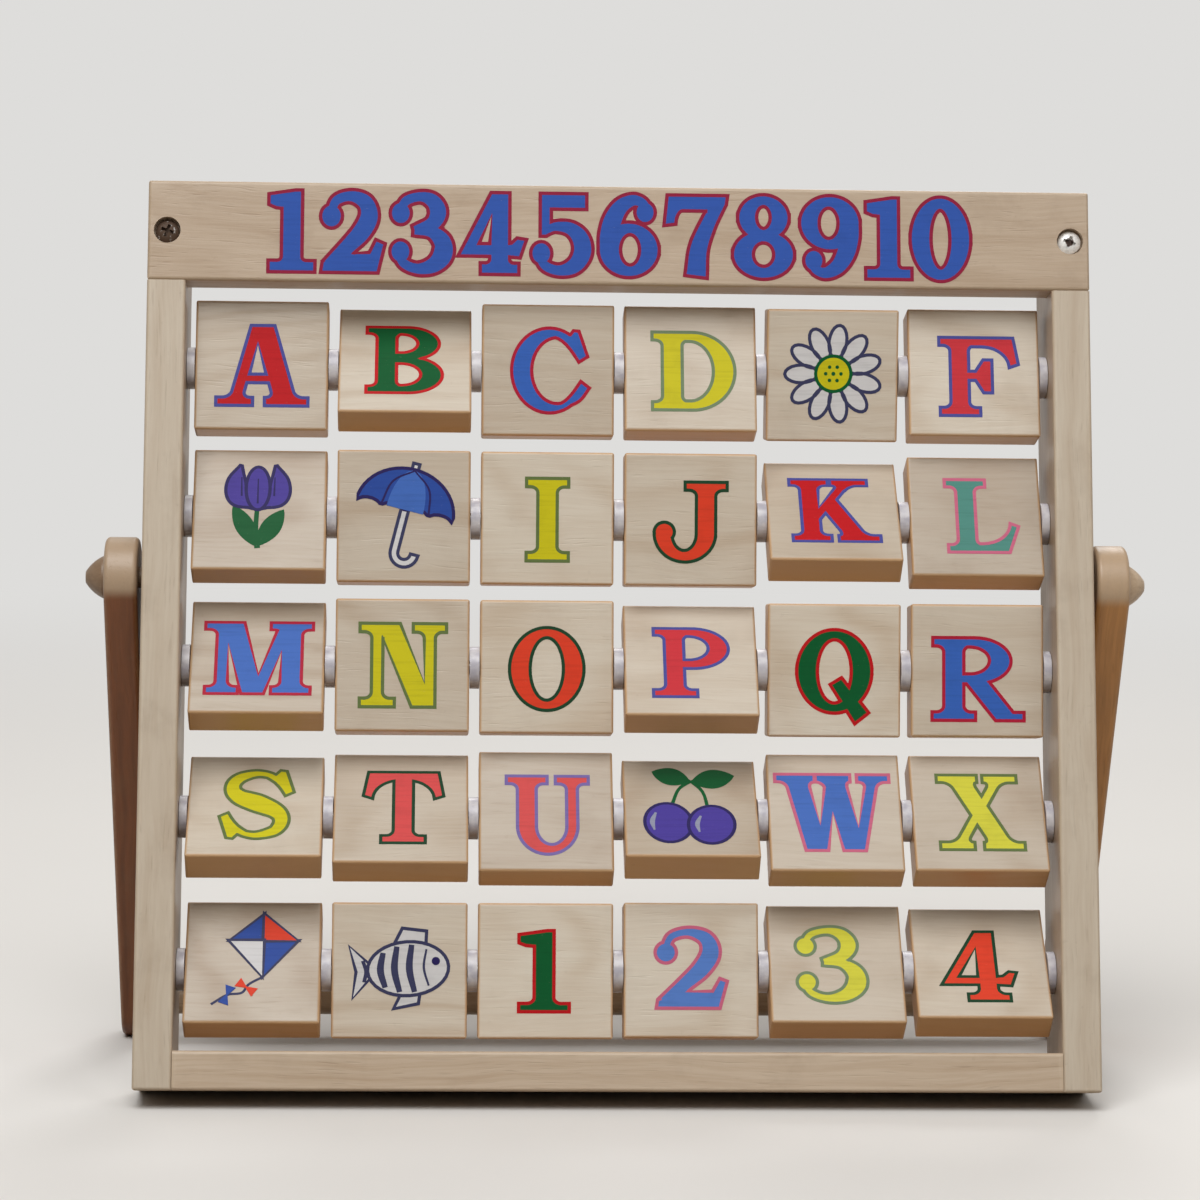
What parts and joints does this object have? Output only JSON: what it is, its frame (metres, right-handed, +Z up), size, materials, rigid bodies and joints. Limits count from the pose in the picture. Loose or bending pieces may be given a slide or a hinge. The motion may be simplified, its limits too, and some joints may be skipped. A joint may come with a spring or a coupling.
{
  "type": "alphabet board",
  "caption": "Wooden easel board with rows of square tiles that turn on steel rods, and a swinging U-shaped stand that doubles as a handle.",
  "frame": {"origin": "on the floor, at the middle of the object's footprint", "axes": "+X to the right across the board, -Y out of its printed front, +Z up"},
  "size_m": [0.3034, 0.1192, 0.2573],
  "materials": {
    "frame_wood": "sanded pale wood",
    "header_wood": "sanded pale wood",
    "tile_wood": "sanded pale wood",
    "leg_wood": "sanded wood",
    "peg_wood": "turned wood",
    "rod_steel": "drawn steel",
    "screw_steel": "zinc plated",
    "spacer_plastic": "milky nylon"
  },
  "bodies": {
    "board": {"left_stile": "frame_wood", "right_stile": "frame_wood", "bottom_rail": "frame_wood", "header_rail": "header_wood", "header_screws": "screw_steel", "rail_screws": "screw_steel", "rod_1": "rod_steel", "rod_2": "rod_steel", "rod_3": "rod_steel", "rod_4": "rod_steel", "rod_5": "rod_steel", "spacers_row_1": "spacer_plastic", "spacers_row_2": "spacer_plastic", "spacers_row_3": "spacer_plastic", "spacers_row_4": "spacer_plastic", "spacers_row_5": "spacer_plastic", "left_pivot_peg": "peg_wood", "right_pivot_peg": "peg_wood"},
    "stand": {"left_leg": "leg_wood", "right_leg": "leg_wood", "leg_crossbar": "leg_wood"},
    "tile_a": {"tile_a": "tile_wood"},
    "tile_b": {"tile_b": "tile_wood"},
    "tile_c": {"tile_c": "tile_wood"},
    "tile_d": {"tile_d": "tile_wood"},
    "tile_e": {"tile_e": "tile_wood"},
    "tile_f": {"tile_f": "tile_wood"},
    "tile_g": {"tile_g": "tile_wood"},
    "tile_h": {"tile_h": "tile_wood"},
    "tile_i": {"tile_i": "tile_wood"},
    "tile_j": {"tile_j": "tile_wood"},
    "tile_k": {"tile_k": "tile_wood"},
    "tile_l": {"tile_l": "tile_wood"},
    "tile_m": {"tile_m": "tile_wood"},
    "tile_n": {"tile_n": "tile_wood"},
    "tile_o": {"tile_o": "tile_wood"},
    "tile_p": {"tile_p": "tile_wood"},
    "tile_q": {"tile_q": "tile_wood"},
    "tile_r": {"tile_r": "tile_wood"},
    "tile_s": {"tile_s": "tile_wood"},
    "tile_t": {"tile_t": "tile_wood"},
    "tile_u": {"tile_u": "tile_wood"},
    "tile_v": {"tile_v": "tile_wood"},
    "tile_w": {"tile_w": "tile_wood"},
    "tile_x": {"tile_x": "tile_wood"},
    "tile_y": {"tile_y": "tile_wood"},
    "tile_z": {"tile_z": "tile_wood"},
    "tile_1": {"tile_1": "tile_wood"},
    "tile_2": {"tile_2": "tile_wood"},
    "tile_3": {"tile_3": "tile_wood"},
    "tile_4": {"tile_4": "tile_wood"}
  },
  "joints": [
    {"name": "stand_swing", "type": "hinge", "parent": "board", "child": "stand", "pos_m": [0, -0.01473, 0.1444], "axis": [1, 0, 0], "range_deg": [-29.9, 314.3]},
    {"name": "tile_a_spin", "type": "hinge", "parent": "board", "child": "tile_a", "pos_m": [-0.1025, -0.00156, 0.2038], "axis": [1, 0, 0], "continuous": true},
    {"name": "tile_b_spin", "type": "hinge", "parent": "board", "child": "tile_b", "pos_m": [-0.0615, -0.00156, 0.2038], "axis": [1, 0, 0], "continuous": true},
    {"name": "tile_c_spin", "type": "hinge", "parent": "board", "child": "tile_c", "pos_m": [-0.0205, -0.00156, 0.2038], "axis": [1, 0, 0], "continuous": true},
    {"name": "tile_d_spin", "type": "hinge", "parent": "board", "child": "tile_d", "pos_m": [0.0205, -0.00156, 0.2038], "axis": [1, 0, 0], "continuous": true},
    {"name": "tile_e_spin", "type": "hinge", "parent": "board", "child": "tile_e", "pos_m": [0.0615, -0.00156, 0.2038], "axis": [1, 0, 0], "continuous": true},
    {"name": "tile_f_spin", "type": "hinge", "parent": "board", "child": "tile_f", "pos_m": [0.1025, -0.00156, 0.2038], "axis": [1, 0, 0], "continuous": true},
    {"name": "tile_g_spin", "type": "hinge", "parent": "board", "child": "tile_g", "pos_m": [-0.1025, -0.01087, 0.16182], "axis": [1, 0, 0], "continuous": true},
    {"name": "tile_h_spin", "type": "hinge", "parent": "board", "child": "tile_h", "pos_m": [-0.0615, -0.01087, 0.16182], "axis": [1, 0, 0], "continuous": true},
    {"name": "tile_i_spin", "type": "hinge", "parent": "board", "child": "tile_i", "pos_m": [-0.0205, -0.01087, 0.16182], "axis": [1, 0, 0], "continuous": true},
    {"name": "tile_j_spin", "type": "hinge", "parent": "board", "child": "tile_j", "pos_m": [0.0205, -0.01087, 0.16182], "axis": [1, 0, 0], "continuous": true},
    {"name": "tile_k_spin", "type": "hinge", "parent": "board", "child": "tile_k", "pos_m": [0.0615, -0.01087, 0.16182], "axis": [1, 0, 0], "continuous": true},
    {"name": "tile_l_spin", "type": "hinge", "parent": "board", "child": "tile_l", "pos_m": [0.1025, -0.01087, 0.16182], "axis": [1, 0, 0], "continuous": true},
    {"name": "tile_m_spin", "type": "hinge", "parent": "board", "child": "tile_m", "pos_m": [-0.1025, -0.02017, 0.11984], "axis": [1, 0, 0], "continuous": true},
    {"name": "tile_n_spin", "type": "hinge", "parent": "board", "child": "tile_n", "pos_m": [-0.0615, -0.02017, 0.11984], "axis": [1, 0, 0], "continuous": true},
    {"name": "tile_o_spin", "type": "hinge", "parent": "board", "child": "tile_o", "pos_m": [-0.0205, -0.02017, 0.11984], "axis": [1, 0, 0], "continuous": true},
    {"name": "tile_p_spin", "type": "hinge", "parent": "board", "child": "tile_p", "pos_m": [0.0205, -0.02017, 0.11984], "axis": [1, 0, 0], "continuous": true},
    {"name": "tile_q_spin", "type": "hinge", "parent": "board", "child": "tile_q", "pos_m": [0.0615, -0.02017, 0.11984], "axis": [1, 0, 0], "continuous": true},
    {"name": "tile_r_spin", "type": "hinge", "parent": "board", "child": "tile_r", "pos_m": [0.1025, -0.02017, 0.11984], "axis": [1, 0, 0], "continuous": true},
    {"name": "tile_s_spin", "type": "hinge", "parent": "board", "child": "tile_s", "pos_m": [-0.1025, -0.02948, 0.07786], "axis": [1, 0, 0], "continuous": true},
    {"name": "tile_t_spin", "type": "hinge", "parent": "board", "child": "tile_t", "pos_m": [-0.0615, -0.02948, 0.07786], "axis": [1, 0, 0], "continuous": true},
    {"name": "tile_u_spin", "type": "hinge", "parent": "board", "child": "tile_u", "pos_m": [-0.0205, -0.02948, 0.07786], "axis": [1, 0, 0], "continuous": true},
    {"name": "tile_v_spin", "type": "hinge", "parent": "board", "child": "tile_v", "pos_m": [0.0205, -0.02948, 0.07786], "axis": [1, 0, 0], "continuous": true},
    {"name": "tile_w_spin", "type": "hinge", "parent": "board", "child": "tile_w", "pos_m": [0.0615, -0.02948, 0.07786], "axis": [1, 0, 0], "continuous": true},
    {"name": "tile_x_spin", "type": "hinge", "parent": "board", "child": "tile_x", "pos_m": [0.1025, -0.02948, 0.07786], "axis": [1, 0, 0], "continuous": true},
    {"name": "tile_y_spin", "type": "hinge", "parent": "board", "child": "tile_y", "pos_m": [-0.1025, -0.03879, 0.03588], "axis": [1, 0, 0], "continuous": true},
    {"name": "tile_z_spin", "type": "hinge", "parent": "board", "child": "tile_z", "pos_m": [-0.0615, -0.03879, 0.03588], "axis": [1, 0, 0], "continuous": true},
    {"name": "tile_1_spin", "type": "hinge", "parent": "board", "child": "tile_1", "pos_m": [-0.0205, -0.03879, 0.03588], "axis": [1, 0, 0], "continuous": true},
    {"name": "tile_2_spin", "type": "hinge", "parent": "board", "child": "tile_2", "pos_m": [0.0205, -0.03879, 0.03588], "axis": [1, 0, 0], "continuous": true},
    {"name": "tile_3_spin", "type": "hinge", "parent": "board", "child": "tile_3", "pos_m": [0.0615, -0.03879, 0.03588], "axis": [1, 0, 0], "continuous": true},
    {"name": "tile_4_spin", "type": "hinge", "parent": "board", "child": "tile_4", "pos_m": [0.1025, -0.03879, 0.03588], "axis": [1, 0, 0], "continuous": true}
  ]
}
